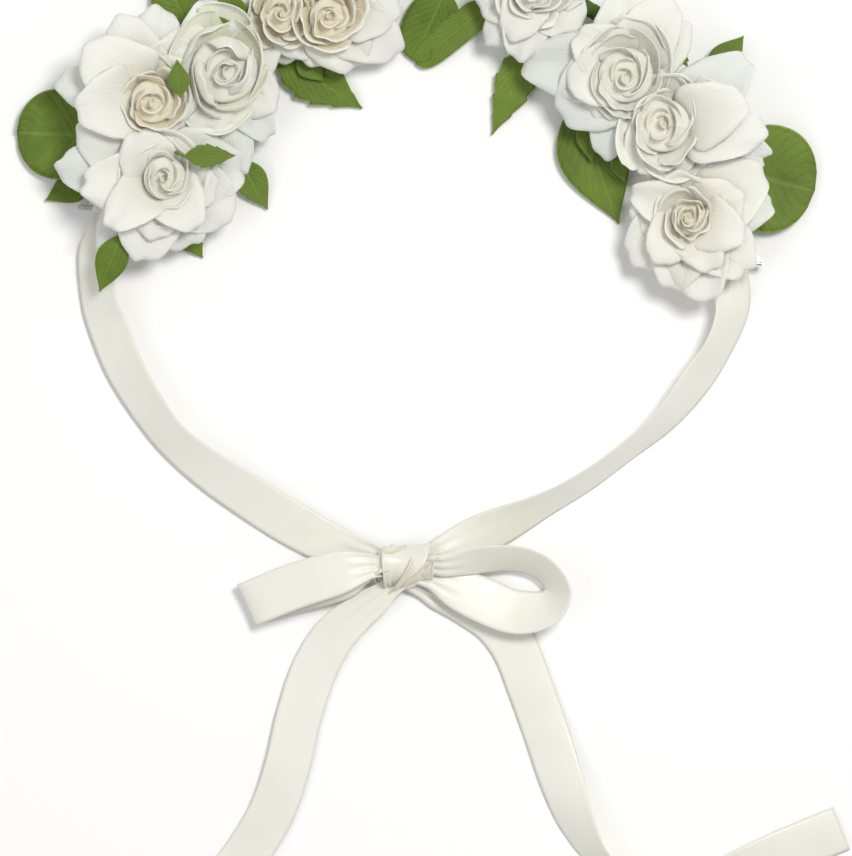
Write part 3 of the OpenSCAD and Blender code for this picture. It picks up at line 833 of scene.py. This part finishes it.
# For each part of the bow: its route, the ends tucked into the knot, and where it starts to bend
BOW_ROUTES = {
    "left_loop": (LEFT_LOOP, [(0, -91.8, 7.4, 110, 0, 0.42)], [(0, -92.6, 5.8, 110, 0, 0.36)],
                  (-4.4, -92.2, 8), (-10, -94.4, 8)),
    "right_loop": (RIGHT_LOOP, [(5.6, -91.4, 7.2, 92, 10, 0.42)], [(6, -93.6, 5.8, -104, 0, 0.4)],
                   (10.2, -92, 7.5), (16, -92.8, 7.5)),
    "left_tail": (LEFT_TAIL, [(2, -95.6, 5.4, 142, 0, 0.42)], [], (-0.9, -98.4, 4.4), (-5, -103, 3.6)),
    "right_tail": (RIGHT_TAIL, [(4.4, -95.8, 4, 60, 0, 0.36)], [], (8.4, -97.6, 2), (14, -99, 1.4)),
}
RIBBON_STEPS = 8
SLEEVE_W = 9
SLEEVE_R = 1.3
SLEEVE_STEPS = 24
RIBBON_COLUMNS = 12


def curve(a, b, c, d, t):
    return 0.5 * (2 * b + (c - a) * t + (2 * a - 5 * b + 4 * c - d) * t * t
                  + (3 * b - a - 3 * c + d) * t ** 3)


def route(points, steps=RIBBON_STEPS):
    last, out = len(points) - 1, []
    for i in range(last):
        four = [points[max(i - 1, 0)], points[i], points[i + 1], points[min(i + 2, last)]]
        for k in range(steps):
            out.append([curve(*(p[n] for p in four), k / steps) for n in range(6)])
    return out + [list(points[last])]


def ribbon(sheet, points, shade_and_tint=0.0, arch=0.0, pleats=0.0):
    """Sweeps a ribbon along a route; arch bows its section and pleats gather its narrow ends."""
    rows, along, area = [], 0.0, 0.0
    p = route(points)
    for i, row in enumerate(p):
        here = Vector(row[:3])
        run = (Vector(p[min(i + 1, len(p) - 1)][:3]) - Vector(p[max(i - 1, 0)][:3])).normalized()
        yaw, tilt, wide = math.radians(row[3]), math.radians(row[4]), row[5] * RIBBON_W
        side = Vector((math.cos(yaw) * math.cos(tilt), math.sin(yaw) * math.cos(tilt), math.sin(tilt)))
        side = (side - run * side.dot(run)).normalized()
        up = run.cross(side)
        gather = pleats * smooth((12.4 - wide) / 6)
        out = []
        for j in range(RIBBON_COLUMNS + 1):
            v = -1 + 2 * j / RIBBON_COLUMNS
            lift = arch * (1 - v * v) + gather * math.cos(3 * math.pi * v)
            out.append((here + side * (v * wide / 2) + up * lift, ((v + 1) / 2, along * MM), 0.5))
        rows.append(out)
        if i + 1 < len(p):
            step = (Vector(p[i + 1][:3]) - here).length
            along += step
            area += step * wide
    sheet.grid(rows, Matrix.Identity(4), shade_and_tint)
    return along, area


# Wraps of the knot: the wide band over its front, the fold below it, and the turn beside it
KNOT_FRONT = [
    (4.6, -85.2, 4.2, 192, 0, 0.92), (3.6, -86.4, 8.2, 192, 0, 1), (2.6, -88.8, 10.2, 192, 0, 1),
    (1.6, -91.8, 10.5, 190, 0, 0.8), (0.8, -94.8, 9.2, 188, 0, 0.54), (0.5, -97.2, 6.2, 186, 0, 0.4),
    (0.8, -97.8, 3.2, 184, 0, 0.36),
]
KNOT_LOW = [
    (11, -88.6, 5.5, 216, 0, 0.5), (9.4, -90, 8.8, 216, 0, 0.6), (7, -92.6, 9.6, 212, 10, 0.7),
    (4.6, -95.6, 8.2, 204, 10, 0.6), (2.4, -98, 5.4, 200, 0, 0.45), (1.2, -98.8, 3, 200, 0, 0.4),
]
KNOT_SIDE = [
    (-4.2, -95.4, 3.5, 100, 0, 0.35), (-4.6, -93.6, 7.2, 80, 0, 0.4), (-3.2, -91.2, 8.6, 60, 0, 0.5),
    (-0.6, -89, 8.2, 50, 0, 0.5), (2, -87.4, 5, 50, 0, 0.4),
]


KNOT_MIDDLE = (2.8, -92.9, 5.6)
KNOT_TURN = 4
KNOT_HALF = 5.4
KNOT_R = 3.9
KNOT_PINCH = 1.9
KNOT_ROWS = 32
KNOT_COLUMNS = 16


def make_knot():
    """Three gathered wraps over a core of rolled ribbon."""
    wraps, length, area = Sheet(), 0.0, 0.0
    # Painted shade: each wrap of the knot is painted darker the deeper it lies, and the core below them
    # darkest
    for points, shade_and_tint, arch, pleats in ((KNOT_FRONT, 0.1, 0.5, 0.3), (KNOT_LOW, 0.2, 0.4, 0.3),
                                       (KNOT_SIDE, 0.4, 0.3, 0.2)):
        run, cloth = ribbon(wraps, points, shade_and_tint, arch, pleats)
        length, area = length + run, area + cloth
    turn = Matrix.Translation(KNOT_MIDDLE) @ Matrix.Rotation(math.radians(KNOT_TURN), 4, "Z")
    rows = []
    for i in range(KNOT_ROWS + 1):
        a = 2 * math.pi * i / KNOT_ROWS
        row = []
        for j in range(KNOT_COLUMNS + 1):
            v = -1 + 2 * j / KNOT_COLUMNS
            r = KNOT_R - KNOT_PINCH * v * v + 0.2 * math.cos(9 * v + 2 * a)
            row.append(((KNOT_HALF * v, r * math.cos(a), r * math.sin(a)), ((v + 1) / 2, i * 0.001), 0.5))
        rows.append(row)
    wraps.grid(rows, turn, 0.7)
    knot = wraps.piece("bow_knot_satin", "satin_ribbon", RIBBON_T, ["bow_knot"], "ties")


def make_sleeve(sheet, side):
    """The sewn end of a tie, wrapped once round the bar of its eye."""
    rows = []
    for i in range(SLEEVE_STEPS + 1):
        a = 2 * math.pi * i / SLEEVE_STEPS
        row = []
        for j in range(RIBBON_COLUMNS + 1):
            x = side * BAR_X + (j / RIBBON_COLUMNS - 0.5) * SLEEVE_W
            row.append(((x, SLEEVE_R * math.cos(a), BAND_Z + SLEEVE_R * math.sin(a)),
                        (j / RIBBON_COLUMNS, i * 0.00035), 0.5))
        rows.append(row)
    # Painted shade: the sleeve round the bar is painted a little darker
    sheet.grid(rows, Matrix.Identity(4), 0.1)
    return 2 * math.pi * SLEEVE_R


def make_ribbons():
    for side, name, points in ((-1, "left_tie", LEFT_TIE), (1, "right_tie", RIGHT_TIE)):
        sheet = Sheet()
        length, area = ribbon(sheet, points, 0.0, 0.2, 0.4)
        girth = make_sleeve(sheet, side)
        tie = sheet.piece(f"{name}_satin", "satin_ribbon", RIBBON_T, [name], "ties")
    for name, (points, tuck_in, tuck_out, start, end) in BOW_ROUTES.items():
        sheet = Sheet()
        length, area = ribbon(sheet, tuck_in + points + tuck_out, 0.0, 0.25, 0.4)
        piece = sheet.piece(f"{name}_satin", "satin_ribbon", RIBBON_T, [name], None)
        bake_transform(piece)


# ---------------------------------------------------------------- build

make_camera()
make_stage()
bpy.context.scene.view_settings.view_transform = "Standard"
for node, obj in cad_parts.items():
    if node.endswith("calyx"):
        obj.data.materials.clear()
        obj.data.materials.append(LOOKS["calyx_plastic"])
    if node in ("band_wire", "left_eye", "right_eye"):
        obj.data.materials.clear()
        obj.data.materials.append(LOOKS["band_wire_steel"])
make_tape()
for index, row in enumerate(ROSES):
    make_rose(index, row)
for index, leaves in enumerate(SPRAYS):
    make_spray(index, leaves)
make_ribbons()
make_knot()
